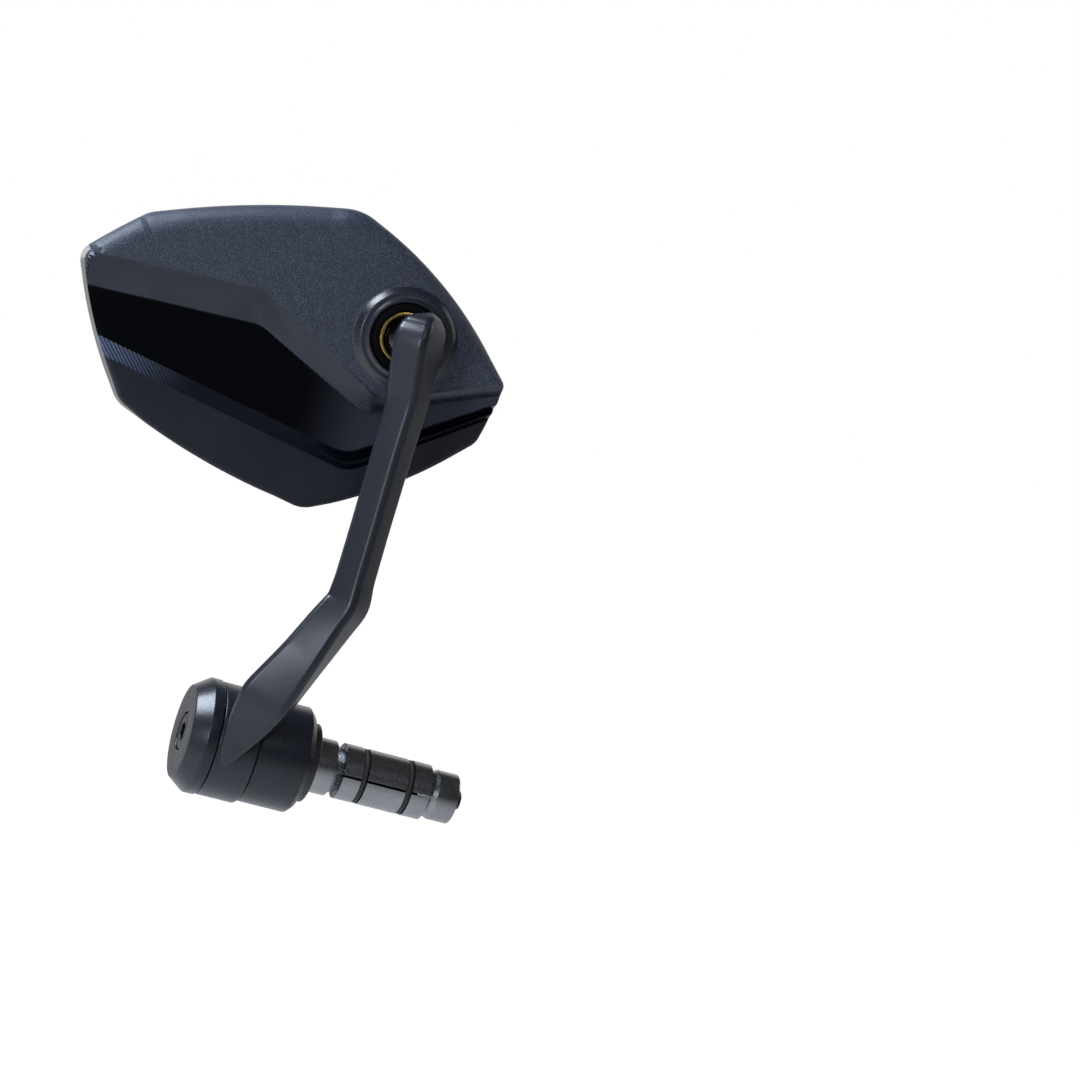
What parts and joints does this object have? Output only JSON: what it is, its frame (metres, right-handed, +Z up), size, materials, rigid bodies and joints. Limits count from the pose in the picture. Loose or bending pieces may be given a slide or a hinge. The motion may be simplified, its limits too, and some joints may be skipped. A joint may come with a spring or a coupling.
{
  "type": "motorcycle bar end mirror",
  "caption": "Bar end mirror for a motorcycle: milled head with convex glass on a ball-jointed arm that swings on an expanding bar clamp.",
  "frame": {"origin": "centre of the seat face that meets the end of the handlebar tube", "axes": "+X inboard along the handlebar, +Y back towards the rider, +Z up"},
  "size_m": [0.141, 0.0524, 0.1644],
  "materials": {
    "textured_black": "fine sparkling powder texture over black anodising, satin",
    "anodised_grey": "dark grey anodised and bead blasted, satin",
    "anodised_black": "black anodised and turned, satin",
    "ring_black": "black anodised, matt",
    "black_steel": "black oxide screw steel",
    "bright_steel": "turned and zinc plated",
    "ball_steel": "ground ball, bright",
    "brass": "turned brass, bright",
    "bronze": "sintered bronze bearing",
    "bearing_plastic": "filled bearing plastic",
    "collar_plastic": "hard black plastic",
    "rubber": "moulded rubber",
    "foam": "adhesive foam",
    "mirror": "silvered convex glass"
  },
  "bodies": {
    "bar_end": {"spacer_sleeve": "anodised_black", "end_cap": "anodised_black", "screw_washer": "black_steel", "friction_washer_outer": "bearing_plastic", "friction_washer_inner": "bearing_plastic", "seat_collar": "collar_plastic", "fixed_cone": "bright_steel", "jaw_ring_outer": "rubber", "jaw_ring_inner": "rubber"},
    "arm": {"arm": "anodised_grey", "hub_bush": "bronze", "ball_stud": "ball_steel"},
    "rear_seat": {"rear_seat_cup": "bearing_plastic"},
    "seat_ring": {"brass_seat_ring": "brass"},
    "head": {"mirror_housing": "textured_black", "retaining_ring": "ring_black", "wave_spring": "bright_steel", "adhesive_pad": "foam", "mirror_glass": "mirror"},
    "screw": {"clamp_screw": "black_steel"},
    "nut": {"cone_nut": "bright_steel"},
    "jaw_1": {"clamp_jaw_1": "bright_steel"},
    "jaw_2": {"clamp_jaw_2": "bright_steel"},
    "jaw_3": {"clamp_jaw_3": "bright_steel"},
    "jaw_4": {"clamp_jaw_4": "bright_steel"}
  },
  "joints": [
    {"name": "arm_swing", "type": "hinge", "parent": "bar_end", "child": "arm", "pos_m": [-0.0236, 0, 0], "axis": [1, 0, 0], "continuous": true},
    {"name": "head_tilt", "type": "hinge", "parent": "arm", "child": "rear_seat", "pos_m": [-0.0085, -0.001, 0.119], "axis": [1, 0, 0], "range_deg": [-12, 12]},
    {"name": "head_pan", "type": "hinge", "parent": "rear_seat", "child": "seat_ring", "pos_m": [-0.0085, -0.001, 0.119], "axis": [0, 0, 1], "range_deg": [-4, 20]},
    {"name": "head_spin", "type": "hinge", "parent": "seat_ring", "child": "head", "pos_m": [-0.0085, -0.001, 0.119], "axis": [0.1392, 0.9903, 0], "range_deg": [-25, 25]},
    {"name": "screw_turn", "type": "hinge", "parent": "bar_end", "child": "screw", "pos_m": [-0.0305, 0, 0], "axis": [1, 0, 0], "range_deg": [0, 1080], "deforming": ["jaw_ring_outer", "jaw_ring_inner"]},
    {"name": "nut_slide", "type": "slide", "parent": "bar_end", "child": "nut", "axis": [-1, 0, 0], "range_m": [0, 0.003]},
    {"name": "jaw_1_slide", "type": "slide", "parent": "bar_end", "child": "jaw_1", "axis": [-0.9063, 0.2988, -0.2988], "range_m": [0, 0.00166]},
    {"name": "jaw_2_slide", "type": "slide", "parent": "bar_end", "child": "jaw_2", "axis": [-0.9063, 0.2988, 0.2988], "range_m": [0, 0.00166]},
    {"name": "jaw_3_slide", "type": "slide", "parent": "bar_end", "child": "jaw_3", "axis": [-0.9063, -0.2988, 0.2988], "range_m": [0, 0.00166]},
    {"name": "jaw_4_slide", "type": "slide", "parent": "bar_end", "child": "jaw_4", "axis": [-0.9063, -0.2988, -0.2988], "range_m": [0, 0.00166]}
  ],
  "couplings": [
    {"joint": "nut_slide", "follows": "screw_turn", "m_per_rad": 0.00015915},
    {"joint": "jaw_1_slide", "follows": "screw_turn", "m_per_rad": 0.000087804},
    {"joint": "jaw_2_slide", "follows": "screw_turn", "m_per_rad": 0.000087804},
    {"joint": "jaw_3_slide", "follows": "screw_turn", "m_per_rad": 0.000087804},
    {"joint": "jaw_4_slide", "follows": "screw_turn", "m_per_rad": 0.000087804}
  ]
}
